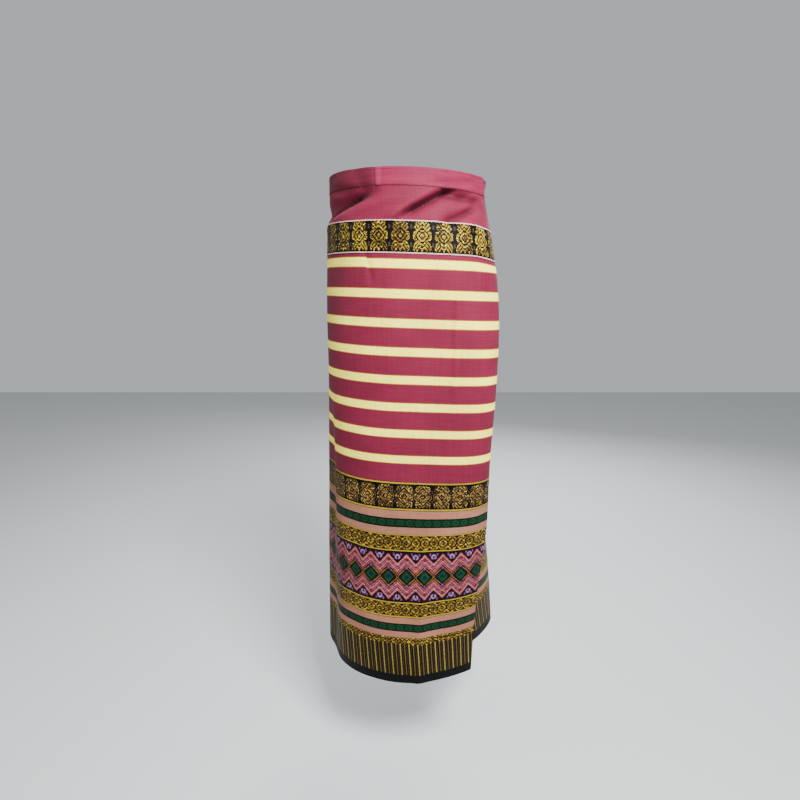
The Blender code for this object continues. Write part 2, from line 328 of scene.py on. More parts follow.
def cloth_surface(levels):
    """Return points, outward directions and cloth coordinates for rows at the levels."""
    rows = [spiral_row(level) for level in levels]
    turn = np.array([row[0] for row in rows])
    across = np.array([row[1] for row in rows])
    centre = np.array([row[2] for row in rows])[:, None]
    level = np.repeat(np.array(levels)[:, None], turn.shape[1], axis=1)
    rise = UNDER_RISE * (1.0 - (1.0 - level / SKIRT_LENGTH) ** RISE_POWER)
    rise = rise * ease(turn, RISE_START, RISE_END)
    rise += FLAP_LIFT * ease(level, *LIFT_LEVELS) * smooth(across / centre)
    local = sections_at(level - rise)
    x, y = section_points(local, turn)
    back_x, back_y = section_points(local, turn - TURN_STEP)
    next_x, next_y = section_points(local, turn + TURN_STEP)
    span = np.hypot(next_x - back_x, next_y - back_y)
    out = np.stack(((back_y - next_y) / span, (next_x - back_x) / span, 0.0 * span), axis=-1)
    off = fold_height(FOLDS, across, level) + fold_height(CREASES, across, level)
    off += front_creases(across, level)
    # The layer under the front follows its creases
    around = -across[:, FULL_TURN_COLUMN, None]
    off += front_creases(across + around, level) * ease(turn, *UNDER_CREASES)
    off += sections_at(level)["stand"] * smooth(across / centre) ** 2
    off -= local["lap"] * ease(turn, LAP_START, LAP_END)
    waves = np.prod([np.sin(across * wide + level * high) for wide, high in WAVES], axis=0)
    off += WAVE_HEIGHT * waves * smooth((level - YOKE_END) / WAVE_RUN)
    sag = SIDE_SAG * ease(level, *SAG_LEVELS[:2]) * (1.0 - ease(level, *SAG_LEVELS[2:]))
    z = TOP_Z - level - HIP_SLOPE * x + rise - sag * ease(x, *SAG_X)
    points = np.stack((x, y, z), axis=-1) + out * off[..., None]
    return points, out, across, level


class Number:
    """A number that varies over the cloth, as a socket in a material."""

    def __init__(self, tree, socket):
        self.tree = tree
        self.socket = socket

    def maths(self, operation, *others):
        """Return the result of an operation on this number and others."""
        node = self.tree.nodes.new("ShaderNodeMath")
        node.operation = operation
        for place, value in enumerate((self, *others)):
            feed(node.inputs[place], value)
        return Number(self.tree, node.outputs[0])

    def __add__(self, other):
        return self.maths("ADD", other)

    def __sub__(self, other):
        return self.maths("SUBTRACT", other)

    def __rsub__(self, other):
        return self * -1.0 + other

    def __mul__(self, other):
        return self.maths("MULTIPLY", other)

    def __truediv__(self, other):
        return self.maths("DIVIDE", other)

    def __abs__(self):
        return self.maths("ABSOLUTE")

    def whole(self):
        """Return the whole number below."""
        return self.maths("FLOOR")

    def rest(self):
        """Return what is over the whole number below."""
        return self.maths("FRACT")

    def below(self, limit):
        """Return 1 where this is less than the limit."""
        return self.maths("LESS_THAN", limit)

    def above(self, limit):
        """Return 1 where this is more than the limit."""
        return self.maths("GREATER_THAN", limit)

    def between(self, low, high):
        """Return 1 where this is from low to high."""
        return self.above(low) * self.below(high)

    def held(self, low, high):
        """Return this, or the nearer limit where it is outside them."""
        return self.maths("MAXIMUM", low).maths("MINIMUM", high)

    def from_axis(self, start, pitch):
        """Return the distance from the nearest of the axes at start plus whole pitches."""
        return abs(((self - (start - pitch / 2.0)) / pitch).rest() - 0.5) * pitch

    def length_with(self, other):
        """Return the length of the diagonal of this and another."""
        return (self * self + other * other).maths("SQRT")


def feed(entry, value):
    """Give a socket a number of the cloth, another socket, or a fixed value."""
    if isinstance(value, Number):
        value = value.socket
    if isinstance(value, bpy.types.NodeSocket):
        entry.id_data.links.new(value, entry)
    else:
        entry.default_value = value


def place_at(tree, first, second):
    """Return a place in a plane from two numbers."""
    place = tree.nodes.new("ShaderNodeCombineXYZ")
    feed(place.inputs[0], first)
    feed(place.inputs[1], second)
    return place.outputs[0]


def noise_at(tree, place, scale, detail, roughness=0.5):
    """Return soft noise, from 0 to 1, at a place."""
    noise = tree.nodes.new("ShaderNodeTexNoise")
    feed(noise.inputs["Vector"], place)
    feed(noise.inputs["Scale"], scale)
    feed(noise.inputs["Detail"], detail)
    feed(noise.inputs["Roughness"], roughness)
    return Number(tree, noise.outputs[0])


def mixed(tree, amount, first, second, blend="MIX"):
    """Return a mix of two colours."""
    node = tree.nodes.new("ShaderNodeMix")
    node.data_type = "RGBA"
    node.blend_type = blend
    for place, value in ((0, amount), (6, first), (7, second)):
        feed(node.inputs[place], value)
    return node.outputs[2]


def linear(red, green, blue):
    """Return a colour in linear light from its 8-bit display values."""
    values = []
    for value in (red, green, blue):
        value /= 255.0
        values.append(value / 12.92 if value <= 0.04045 else ((value + 0.055) / 1.055) ** 2.4)
    return (*values, 1.0)


class Paint:
    """The colours of a band, laid one over another, and how high its yarns stand."""

    def __init__(self, tree, colour):
        self.tree = tree
        self.colour = colour
        self.height = None

    def over(self, mask, colour, raised=0.0):
        """Lay a colour over what is there, where the mask is 1."""
        self.colour = mixed(self.tree, mask, self.colour, colour)
        if raised:
            part = mask * raised
            self.height = part if self.height is None else self.height.maths("MAXIMUM", part)


# Dyes, as display values
DYE = {
    "plum": (100, 27, 47),
    "waistband": (112, 29, 55),
    "waistband light": (124, 39, 64),
    "waistband shade": (86, 24, 40),
    "cream": (244, 231, 88),
    "cream edge": (150, 96, 32),
    # Painted highlight of the gold yarn, on random picks
    "gold glint": (212, 180, 60),
    "dim gold": (90, 76, 30),
    "gold": (156, 131, 34),
    "deep gold": (114, 92, 25),
    "lattice gold": (113, 90, 28),
    "pale gold": (136, 119, 50),
    "dull gold": (128, 103, 54),
    "brown gold": (60, 38, 18),
    "tan": (112, 82, 51),
    "dull yarn": (50, 38, 36),
    "black": (6, 4, 4),
    "wine black": (21, 5, 9),
    "mauve brown": (58, 42, 31),
    "brown black": (13, 8, 4),
    "pink": (140, 94, 77),
    "green": (2, 28, 12),
    "leaf green": (12, 52, 30),
    "teal": (8, 62, 50),
    "salmon": (152, 95, 80),
    "rose": (137, 60, 80),
    "dark rose": (82, 21, 43),
    "purple": (97, 51, 103),
    "lilac": (129, 94, 134),
    "maroon": (57, 15, 25),
    # Painted shadow along the bottom of the yoke's deepest folds
    "painted fold shadow": (34, 8, 16),
    "hem": (6, 6, 7),
    "cord": (214, 176, 166),
    "cord shade": (141, 102, 99),
}
DYES = {name: linear(*values) for name, values in DYE.items()}

# Half of each brocaded flower, from its centre line outwards, a line for each row of
# cells. x is gold, o is brown gold, l is dull yarn.
UPPER_FLOWER = (
    "x...x.......",
    "xx.xx.x.....",
    ".xxx..xx....",
    "..x..xx....l",
    "xx..xx.x...l",
    "xxx.x..xx..l",
    "..xx..xx...l",
    "...xxxx.....",
    "xx..xx......",
    ".xx...xxx...",
    "..xx..x.xx..",
    "x..xx..x.x..",
    "ox..xx..xx..",
    "ox..xx..xx..",
    "x..xx..x.x..",
    "..xx..x.xx..",
    ".xx...xxx...",
    "xx..xx......",
    "...xxxx.....",
    "..xx..xx...l",
    "xxx.x..xx..l",
    "xx..xx..x..l",
    "..x..xx.xx.l",
    ".xxx..xx.x..",
    "xx.xx..x.x..",
    "x...xx..xx..",
    "x....x..x...",
    "............",
)
LOWER_FLOWER = (
    "............",
    "x..xx.......",
    "xx..xx.x....",
    ".xx..x.xx...",
    "..xx.xx.x...",
    "o..xx.x..x..",
    "oo..xx..xx..",
    ".oo..xxxx..l",
    "x.oo..x....l",
    "xx.oo..xx..l",
    "xxx.oo..xx..",
    "..xx.oo..xx.",
    "o..xx.oo..x.",
    "oo..xx.oo.x.",
    "oo..xx.oo.x.",
    "o..xx.oo..x.",
    "..xx.oo..xx.",
    "xxx.oo..xx..",
    "xx.oo..xx..l",
    "x.oo..x....l",
    ".oo..xxxx..l",
    "oo..xx..xx..",
    "o..xx.x..x..",
    "..xx.xx.xx..",
    ".xx..x.xx...",
    "xx..xx..x...",
    "x..xx...x...",
    "............",
)
# From the middle of a large rosette of the lattice to that of a small one, and the same
# turned over below it
HALF_LATTICE = (
    "xxx......xxx",
    "xxxx....xxxx",
    "x.xxx..xxx.x",
    "...xxxxxx...",
    "xx..xxxx..xx",
    "xxx..xx..xxx",
    ".xxx....xxx.",
    "..xxx..xxx..",
    "oo.xx..xx.oo",
)
LATTICE = HALF_LATTICE + HALF_LATTICE[::-1]
# Half of a small scroll
SCROLL = (
    "xx..xx",
    "xxx.xx",
    ".xxxx.",
    "..xx..",
    "x....x",
    "xx..xx",
    "xxx.xx",
    ".xxxx.",
    "..xx.x",
    "x....x",
    "xx..xx",
)

# The yarns of the charts, by their letters
YARNS = "xol"
# What keeps a code from being rounded to the whole number below it
CODE_MARGIN = 0.0001

# Brocade: the shares of its picks that sink into the ground, get a painted highlight and are
# gold among the brown, how strongly the first two show, the cells that one pick takes, and the
# wear
LOST_PICKS = 0.28
LOST_SHOW = 0.75
GLINT_PICKS = 0.12
GLINT_SHOW = 0.6
GOLD_PICKS = 0.35
PICK_CELLS = 2.0
FLOWER_WEAR = 0.6
MOST_WEAR = 0.9
# Blots of wear: how fine they are across and down, from which noise, how steep, how far
BLOTS = (34.0, 16.0)
BLOT_START = 0.46
BLOT_SLOPE = 6.0
MOST_BLOT = 0.75

# Gold lines: the pitch of the twist, the share of it in the light, the line in its band
TWIST_PITCH = 0.0021
TWIST_LIT = 0.82
LINE_PART = (0.16, 0.80)
# Black line along the edges of the wide bands
DARK_EDGE = 0.0016

# Leaf bands: half the ring's width by the pitch and half its height by the band's, the
# ring, its eye, the corners outside it with their height, and the notched black edge
RING_WIDTH = 0.38
RING_HEIGHT = 0.34
LEAF_RING = (0.60, 0.95)
LEAF_EYE = 0.26
LEAF_CORNER = 1.40
CORNER_HEIGHT = 0.3
NOTCH_PITCH = 0.0042
NOTCH_DEPTH = 0.0007

# Zigzag: its cells in half a pitch, and how steep the chevrons are
ZIGZAG_CELLS = 16.0
CHEVRON_SLOPE = 1.15
# Where each chevron starts over its line, with its dye, and where the last one ends
CHEVRONS = (
    (0.0052, "rose"),
    (0.0082, "wine black"),
    (0.0102, "salmon"),
    (0.0138, "dark rose"),
    (0.0158, "rose"),
    (0.0184, "purple"),
    (0.0196, "wine black"),
    (0.0216, "salmon"),
    (0.0256, "rose"),
    (0.0276, None),
)
# Lozenges of the zigzag: half the width, half the height and how high the middle is
TIP = (0.0036, 0.0052, 0.0360)
DIAMOND = (0.0118, 0.0158, 0.0)
APEX = (0.0030, 0.0036, 0.0190)
FLOWER_GROUND = (0.0080, 0.0130, 0.0415)
# The diamond's parts, from the outside in, as shares of it
DIAMOND_EDGE = 1.10
DIAMOND_FIELD = 0.96
DIAMOND_RING = (0.36, 0.74)
DIAMOND_LINE = (0.48, 0.58)
# The gold threads beside the diamonds: slope, height and half width, and their crossing
GOLD_SLOPE = 1.05
GOLD_START = 0.0012
GOLD_HALF = 0.0008
CROSSING_SLOPE = 1.2
CROSSING_START = 0.0024
CROSSING_REACH = 0.006
# The small flowers between the chevrons: middle, petals, stem and the leaves at its side
PETALS_MIDDLE = 0.0410
PETALS = (0.0018, 0.0052)
STEM_HALF = 0.0009
STEM = (0.0300, 0.0400)
SIDE_LEAF = (0.0052, 0.0080)
SIDE_LEAF_HEIGHT = (0.0435, 0.0485)
# Dark picks all over the band: their share, and how strongly they show
DARK_PICKS = 0.22
DARK_SHOW = 0.55

# Upright lines: the step of their weave and its lit share, half the widths of the pale
# and the dim line, and the brown line beside them
UPRIGHT_STEP = 0.0030
UPRIGHT_LIT = 0.78
PALE_HALF = 0.0012
DIM_HALF = 0.0010
BROWN_LINE = (0.0037, 0.0045)

# Weft stripes: the first, their pitch and its growth, which counts have one, the middle
# and half the height of the brown edge and of the cream, by the pitch. The shift keeps a
# stripe whole where the count goes over.
STRIPE_START = 0.0090
STRIPE_PITCH = 0.0497
STRIPE_GROWTH = (0.0036, 0.00003)
STRIPE_COUNTS = (-0.05, 7.9)
STRIPE_SHIFT = 0.25
STRIPE_MIDDLE = 0.405
EDGE_HALF = 0.172
CREAM_HALF = 0.142
# A dart left of the front sets the first stripe a little higher beside it, and fades
# out below that
DART_PLACE = -0.0765
DART_RISE = 0.0018
DART_SLOPE = -40.0
DART_START = 1.6

# The maroon edge of the flap at the yoke, with its lean, and of the waistband's seam
FLAP_EDGE = 0.1590
FLAP_LEAN = 0.013 / 0.055
SEAM_SHADE = 0.0010
# The lighter join of the waistband
JOIN = (-0.0595, -0.0495)

# Cords: the pitch and lean of the twist, and the share of it in the shade
CORD_PITCH = 0.0019
CORD_LEAN = 0.9
CORD_SHADED = 0.35


def charted(tree, chart, aside, up):
    """Return, for each yarn, 1 where the chart has it at a place counted in its cells."""
    rows = len(chart)
    columns = len(chart[0])
    node = tree.nodes.new("ShaderNodeValToRGB")
    ramp = node.color_ramp
    ramp.interpolation = "CONSTANT"
    feed(node.inputs[0], up / rows)
    while len(ramp.elements) > 1:
        ramp.elements.remove(ramp.elements[-1])
    for row, line in enumerate(chart):
        element = ramp.elements[0] if row == 0 else ramp.elements.new(row / rows)
        element.position = row / rows
        # Each yarn's cells in the row are the binary digits of one number
        codes = []
        for yarn in YARNS:
            cells = [place for place, found in enumerate(line) if found == yarn]
            codes.append(sum(2.0 ** (place - columns) for place in cells))
        element.color = (*codes, 1.0)
    split = tree.nodes.new("ShaderNodeSeparateColor")
    feed(split.inputs[0], node.outputs[0])
    two = Number(tree, tree.nodes.new("ShaderNodeValue").outputs[0])
    two.socket.default_value = 2.0
    scale = two.maths("POWER", columns - aside.whole())
    masks = []
    for channel in split.outputs:
        code = (Number(tree, channel) * scale + CODE_MARGIN).whole()
        # The cell is filled where the whole code is odd
        masks.append((code * 0.5).rest().above(0.25))
    return masks


def plain(dye):
    """Return a painter for a band in one colour."""
    def paint(tree, across, down, height):
        return Paint(tree, DYES[dye])
    return paint


def gold_line(tree, across, down, height):
    """Paint a narrow gold line with a dark thread at each side."""
    layers = Paint(tree, DYES["brown black"])
    twist = (across / TWIST_PITCH).rest().below(TWIST_LIT)
    layers.over((down / height).between(*LINE_PART) * twist, DYES["gold"], raised=1.0)
    return layers


def chart_band(chart, pitch, start, ground, gold, dull, wear):
    """Return a painter for a band that repeats a chart and its mirror image."""
    def paint(tree, across, down, height):
        layers = Paint(tree, DYES[ground])
        cell = pitch / 2.0 / len(chart[0])
        aside = across.from_axis(start, pitch) / cell
        below = down / (height / len(chart))
        gold_mask, brown_mask, dull_mask = charted(tree, chart, aside, below)
        layers.over(gold_mask, DYES[gold], raised=1.0)
        repeat = ((across - start) / pitch + 0.5).whole()
        worn = yarn_wear(tree, across, down) + any_number(tree, repeat, height) * FLOWER_WEAR
        worn = gold_mask * worn.maths("MINIMUM", MOST_WEAR) * wear
        layers.over(worn, DYES["brown gold"], raised=1.0)
        pick = any_number(tree, (across / cell / PICK_CELLS).whole(), below.whole())
        lost = gold_mask * pick.above(1.0 - LOST_PICKS) * LOST_SHOW
        layers.over(lost, DYES[ground], raised=0.8)
        # Painted highlights: random picks of the gold yarn painted brighter, as glints
        bright = gold_mask * pick.below(GLINT_PICKS) * GLINT_SHOW
        layers.over(bright, DYES["gold glint"], raised=1.0)
        layers.over(brown_mask, DYES["brown gold"], raised=0.9)
        layers.over(brown_mask * pick.below(GOLD_PICKS), DYES[gold], raised=0.9)
        layers.over(dull_mask, DYES[dull], raised=0.6)
        return layers
    return paint


def any_number(tree, column, row):
    """Return a number from 0 to 1 that differs from cell to cell."""
    noise = tree.nodes.new("ShaderNodeTexWhiteNoise")
    noise.noise_dimensions = "2D"
    feed(noise.inputs["Vector"], place_at(tree, column, row))
    return Number(tree, noise.outputs["Value"])


def yarn_wear(tree, across, down):
    """Return where the gold yarn is duller, in blots about as large as a flower."""
    place = place_at(tree, across * BLOTS[0], down * BLOTS[1])
    blots = noise_at(tree, place, 1.0, 3.0)
    return ((blots - BLOT_START) * BLOT_SLOPE).held(0.0, MOST_BLOT)


def leaves(pitch, start):
    """Return a painter for a green band with a lighter ring of leaves."""
    def paint(tree, across, down, height):
        layers = Paint(tree, DYES["green"])
        aside = across.from_axis(start, pitch)
        up = abs(down - height / 2.0)
        ring = (aside / (pitch * RING_WIDTH)).length_with(up / (height * RING_HEIGHT))
        corners = ring.above(LEAF_CORNER) * up.below(height * CORNER_HEIGHT)
        for mask in (ring.between(*LEAF_RING), ring.below(LEAF_EYE), corners):
            layers.over(mask, DYES["leaf green"], raised=0.8)
        notch = (across / NOTCH_PITCH).rest().above(0.5) * NOTCH_DEPTH + up
        layers.over(notch.above(height * 0.5 - DARK_EDGE), DYES["black"])
        return layers
    return paint


def stepped(value, cell):
    """Return a distance as the middle of the woven cell it falls in."""
    return ((value / cell).whole() + 0.5) * cell


def lozenge(aside, up, half_width, half_height, middle):
    """Return how far a place is from the middle of a lozenge, 1 being its edge."""
    return aside / half_width + abs(up - middle) / half_height


def zigzag(pitch, start):
    """Return a painter for the wide band of chevrons, green diamonds and small flowers."""
    def paint(tree, across, down, height):
        layers = Paint(tree, DYES["wine black"])
        half = pitch / 2.0
        cell = half / ZIGZAG_CELLS
        aside = stepped(across.from_axis(start, pitch), cell)
        other = half - aside
        up = stepped(abs(down - height / 2.0), cell)
        over_line = up - aside * CHEVRON_SLOPE
        for (low, dye), (high, _) in zip(CHEVRONS, CHEVRONS[1:]):
            layers.over(over_line.between(low, high), DYES[dye], raised=0.8)
        layers.over(lozenge(other, up, *TIP).below(1.0), DYES["dark rose"], raised=0.8)
        diamond = lozenge(other, up, *DIAMOND)
        layers.over(diamond.below(DIAMOND_EDGE), DYES["black"])
        line = abs(up - (aside * GOLD_SLOPE + GOLD_START)).below(GOLD_HALF)
        crossing = abs(up + aside * CROSSING_SLOPE - CROSSING_START).below(GOLD_HALF)
        crossing = crossing * aside.below(CROSSING_REACH)
        layers.over(line.maths("MAXIMUM", crossing), DYES["deep gold"], raised=1.0)
        layers.over(diamond.below(DIAMOND_FIELD), DYES["green"], raised=0.8)
        layers.over(diamond.between(*DIAMOND_RING), DYES["teal"], raised=0.8)
        layers.over(diamond.between(*DIAMOND_LINE), DYES["black"])
        layers.over(lozenge(other, up, *APEX).below(1.0), DYES["purple"], raised=0.8)
        layers.over(lozenge(aside, up, *FLOWER_GROUND).below(1.0), DYES["wine black"])
        flower = aside.length_with(up - PETALS_MIDDLE)
        layers.over(flower.between(*PETALS), DYES["lilac"], raised=0.8)
        layers.over(aside.below(STEM_HALF) * up.between(*STEM), DYES["black"])
        side_leaf = aside.between(*SIDE_LEAF) * up.between(*SIDE_LEAF_HEIGHT)
        layers.over(side_leaf, DYES["purple"], raised=0.8)
        column = (across / cell / PICK_CELLS).whole()
        pick = any_number(tree, column, (down / cell / PICK_CELLS).whole())
        layers.over(pick.above(1.0 - DARK_PICKS) * DARK_SHOW, DYES["wine black"])
        layers.over(up.above(height / 2.0 - DARK_EDGE), DYES["black"])
        return layers
    return paint


def uprights(pitch, start, lean):
    """Return a painter for the band of narrow upright stripes."""
    def paint(tree, across, down, height):
        layers = Paint(tree, DYES["brown black"])
        aside = (across - down * lean).from_axis(start, pitch)
        lit = (down / UPRIGHT_STEP).rest().below(UPRIGHT_LIT)
        layers.over(aside.below(PALE_HALF) * lit, DYES["pale gold"], raised=1.0)
        layers.over((pitch / 2.0 - aside).below(DIM_HALF) * lit, DYES["dim gold"], raised=0.8)
        layers.over(aside.between(*BROWN_LINE), DYES["mauve brown"], raised=0.7)
        return layers
    return paint


def weft_stripes(tree, across, down, height):
    """Paint the wide cloth with its level cream stripes."""
    layers = Paint(tree, DYES["plum"])
    dart = across.below(DART_PLACE) * (down * DART_SLOPE + DART_START).held(0.0, 1.0)
    count = (down + dart * DART_RISE - STRIPE_START) / STRIPE_PITCH
    square = count * count
    count = count + square * STRIPE_GROWTH[0] + square * count * STRIPE_GROWTH[1]
    from_middle = abs((count.rest() + STRIPE_SHIFT).rest() - STRIPE_MIDDLE)
    counted = count.between(*STRIPE_COUNTS)
    layers.over(from_middle.below(EDGE_HALF) * counted, DYES["cream edge"])
    layers.over(from_middle.below(CREAM_HALF) * counted, DYES["cream"], raised=0.4)
    return layers


def in_fold(across, level, fold):
    """Return how near a place is to the bottom of a fold, from 0 to 1."""
    across_1, level_1, across_2, level_2, _, half_width = fold
    run = (across_2 - across_1, level_2 - level_1)
    length = math.hypot(*run)
    aside = across - across_1
    below = level - level_1
    along = (aside * run[0] + below * run[1]) / length ** 2
    beside = (aside * run[1] - below * run[0]) / (length * half_width)
    taper = (along / FOLD_TAPER).held(0.0, 1.0)
    taper = taper * ((1.0 - along) / FOLD_TAPER).held(0.0, 1.0)
    return (1.0 - beside * beside).held(0.0, 1.0) * taper


def yoke_cloth(tree, across, down, height):
    """Paint the plain cloth of the yoke, with painted shadow along the bottom of its deepest
    folds, and darker at the flap's edge.
    """
    layers = Paint(tree, DYES["plum"])
    # Painted shadow: each fold deeper than SHADED_DEPTH is painted darker along its bottom, the
    # more so the deeper it is
    for fold in (*YOKE_CREASES, *BAND_CREASES):
        depth = -fold[4]
        if depth > SHADED_DEPTH:
            deep = in_fold(across, down + WAISTBAND_HEIGHT, fold)
            layers.over(deep * (depth * FOLD_SHADOW_STRENGTH), DYES["painted fold shadow"])
    layers.over((across - down * FLAP_LEAN).above(FLAP_EDGE), DYES["maroon"], raised=0.5)
    return layers


def waistband_cloth(tree, across, down, height):
    """Paint the waistband, with its lighter join left of the front and darker beyond it."""
    layers = Paint(tree, DYES["waistband"])
    layers.over(across.below(JOIN[0]), DYES["waistband shade"])
    layers.over(across.between(*JOIN), DYES["waistband light"])
    layers.over(down.above(height - SEAM_SHADE), DYES["maroon"])
    return layers


def new_material(name, roughness):
    """Make a material, and return it with its nodes and its shader."""
    material = bpy.data.materials.new(name)
    material.use_nodes = True
    shader = material.node_tree.nodes["Principled BSDF"]
    shader.inputs["Roughness"].default_value = roughness
    return material, material.node_tree, shader


def cloth_material(name, painter, start, end):
    """Make a woven cloth whose pattern is painted from the cloth coordinates."""
    material, tree, shader = new_material(name, ROUGHNESS)
    shader.inputs["Sheen Weight"].default_value = SHEEN
    shader.inputs["Sheen Roughness"].default_value = SHEEN_ROUGHNESS
    shader.inputs["Specular IOR Level"].default_value = SPECULAR
    coordinates = tree.nodes.new("ShaderNodeUVMap")
    coordinates.uv_map = "Cloth"
    split = tree.nodes.new("ShaderNodeSeparateXYZ")
    feed(split.inputs[0], coordinates.outputs[0])
    across = Number(tree, split.outputs[0])
    level = Number(tree, split.outputs[1])
    layers = painter(tree, across, level - start, end - start)
    # Uneven yarn: slubs along the weft, streaks down the warp and slow changes of dye
    yarn = noise_at(tree, place_at(tree, across * SLUBS[0], level * SLUBS[1]), 1.0, 4.0, 0.7)
    warp = noise_at(tree, place_at(tree, across * STREAKS[0], level * STREAKS[1]), 1.0, 2.0)
    cloud = noise_at(tree, coordinates.outputs[0], CLOUDS, 2.0)
    shade = yarn * SLUB_SHARE + warp * STREAK_SHARE + cloud * CLOUD_SHARE + LEAST_LIGHT
    grey = tree.nodes.new("ShaderNodeCombineColor")
    for channel in grey.inputs:
        feed(channel, shade)
    tinted = mixed(tree, 1.0, layers.colour, grey.outputs[0], "MULTIPLY")
    # The reverse is duller, with the loose ends of the yarns
    reverse = tree.nodes.new("ShaderNodeAttribute")
    reverse.attribute_name = "reverse"
    amount = Number(tree, reverse.outputs["Fac"]) * (yarn * REVERSE_SLUBS + REVERSE_DULL)
    feed(shader.inputs["Base Color"], mixed(tree, amount, tinted, DYES["dull yarn"]))
    # Relief: over and under of the threads, and the raised brocade yarns
    over = (across * (2.0 * math.pi / THREAD_PITCH)).maths("SINE")
    under = (level * (2.0 * math.pi / THREAD_PITCH)).maths("SINE")
    height = over * under * THREAD_HEIGHT + yarn * YARN_HEIGHT
    if layers.height is not None:
        height = height + layers.height * RELIEF
    bump = tree.nodes.new("ShaderNodeBump")
    bump.inputs["Strength"].default_value = BUMP_STRENGTH
    bump.inputs["Distance"].default_value = 1.0
    feed(bump.inputs["Height"], height)
    feed(shader.inputs["Normal"], bump.outputs[0])
    return material


def cord_material(name):
    """Make the pale twisted cord of the edgings."""
    def paint(tree, across, down, height):
        layers = Paint(tree, DYES["cord"])
        twist = ((across + down * CORD_LEAN) / CORD_PITCH).rest()
        layers.over(twist.below(CORD_SHADED), DYES["cord shade"])
        return layers
    return cloth_material(name, paint, 0.0, 1.0)


def thread_material(name, dye):
    """Make the sewing thread, with a grain of darker and lighter fibres."""
    material, tree, shader = new_material(name, THREAD_ROUGHNESS)
    place = tree.nodes.new("ShaderNodeTexCoord")
    ramp = tree.nodes.new("ShaderNodeValToRGB")
    for element, share in zip(ramp.color_ramp.elements, THREAD_SHADES):
        element.color = (*(value * share for value in DYES[dye][:3]), 1.0)
    feed(ramp.inputs[0], noise_at(tree, place.outputs["Object"], THREAD_GRAIN, 2.0))
    feed(shader.inputs["Base Color"], ramp.outputs[0])
    return material


def flowers(chart, pitch, start, gold):
    """Return a painter for a band of brocaded flowers."""
    return chart_band(chart, pitch, start, "black", gold, "dull yarn", 0.9)


def gold_chart(chart, pitch, start, gold, wear):
    """Return a painter for a band of gold yarn on brown black."""
    return chart_band(chart, pitch, start, "brown black", gold, "tan", wear)


# Painters of several bands. A motif of the border repeats every MOTIF, or every two.
MOTIF = 0.0169
WIDE_START = 0.012
lattice = gold_chart(LATTICE, MOTIF * 2.0, WIDE_START, "lattice gold", 0.4)
green_leaves = leaves(MOTIF, 0.0)
pink = plain("pink")

# The bands of each strip: where each starts, its name and its painter
BANDS = {
    "waistband": ((0.0, "waistband_cloth", waistband_cloth),),
    "yoke": ((WAISTBAND_HEIGHT, "yoke_cloth", yoke_cloth),),
    "edging_upper": ((YOKE_END, "cord", None),),
    "brocade": (
        (BAND_TOP, "upper_flowers", flowers(UPPER_FLOWER, 0.0365, -0.0166, "gold")),
    ),
    "edging_lower": ((BAND_FOOT, "cord", None),),
    "body": ((BROCADE_END, "weft_stripes", weft_stripes),),
    "border": (
        (BODY_END, "gold_line_1", gold_line),
        (0.5410, "lower_flowers", flowers(LOWER_FLOWER, 0.0339, -0.0094, "dull gold")),
        (0.5866, "gold_line_2", gold_line),
        (0.5915, "pink_1", pink),
        (0.6064, "leaves_1", green_leaves),
        (0.6239, "pink_2", pink),
        (0.6375, "gold_line_3", gold_line),
        (0.6405, "lattice_1", lattice),
        (0.6682, "gold_line_4", gold_line),
        (0.6718, "zigzag", zigzag(MOTIF * 2.0, WIDE_START)),
        (0.7749, "gold_line_5", gold_line),
        (0.7789, "lattice_2", lattice),
        (0.8040, "gold_line_6", gold_line),
        (0.8086, "pink_3", pink),
        (0.8210, "leaves_2", green_leaves),
        (0.8381, "pink_4", pink),
        (0.8504, "scrolls", gold_chart(SCROLL, MOTIF, 0.0, "deep gold", 0.5)),
        (0.8658, "uprights", uprights(MOTIF, 0.0, 0.07)),
    ),
    "hem": ((BORDER_END, "hem_cloth", plain("hem")),),
}
materials = {}


def band_material(name, painter, start, end):
    """Return the material of a band, made once. Without a painter it is the cord."""
    if name not in materials:
        if painter is None:
            materials[name] = cord_material(name)
        else:
            materials[name] = cloth_material(name, painter, start, end)
    return materials[name]


def add_object(name, data):
    """Add an object to the scene."""
    added = bpy.data.objects.new(name, data)
    bpy.context.scene.collection.objects.link(added)
    return added


def row_levels(top, ends):
    """Return the levels of a strip's rows, and the band of each row of faces."""
    levels = [top]
    band_of_row = []
    for place, band_end in enumerate(ends):
        count = max(1, math.ceil((band_end - levels[-1]) / ROW_STEP))
        levels.extend(np.linspace(levels[-1], band_end, count + 1)[1:])
        band_of_row.extend([place] * count)
    return levels, band_of_row


def rim(line, shift, turned):
    """Return the faces along one edge of a shell, between its outer and inner points."""
    corners = (line[:-1], line[1:], line[1:] + shift, line[:-1] + shift)
    return np.stack(corners if turned else corners[::-1], axis=-1)


def shell_faces(band_of_row, width):
    """Return a shell's faces, each one's band, and how many are on the outside."""
    rows = len(band_of_row) + 1
    shift = rows * width
    index = np.arange(shift).reshape(rows, width)
    corners = (index[:-1, :-1], index[:-1, 1:], index[1:, 1:], index[1:, :-1])
    outside = np.stack(corners, axis=-1).reshape(-1, 4)
    rims = (
        rim(index[0], shift, False),
        rim(index[-1], shift, True),
        rim(index[:, 0], shift, True),
        rim(index[:, -1], shift, False),
    )
    faces = np.concatenate((outside, outside[:, ::-1] + shift, *rims))
    side_bands = np.repeat(band_of_row, width - 1)
    end_bands = np.repeat((band_of_row[0], band_of_row[-1]), width - 1)
    bands = np.concatenate((side_bands, side_bands, end_bands, band_of_row, band_of_row))
    return faces, bands.astype(np.int32), len(outside)


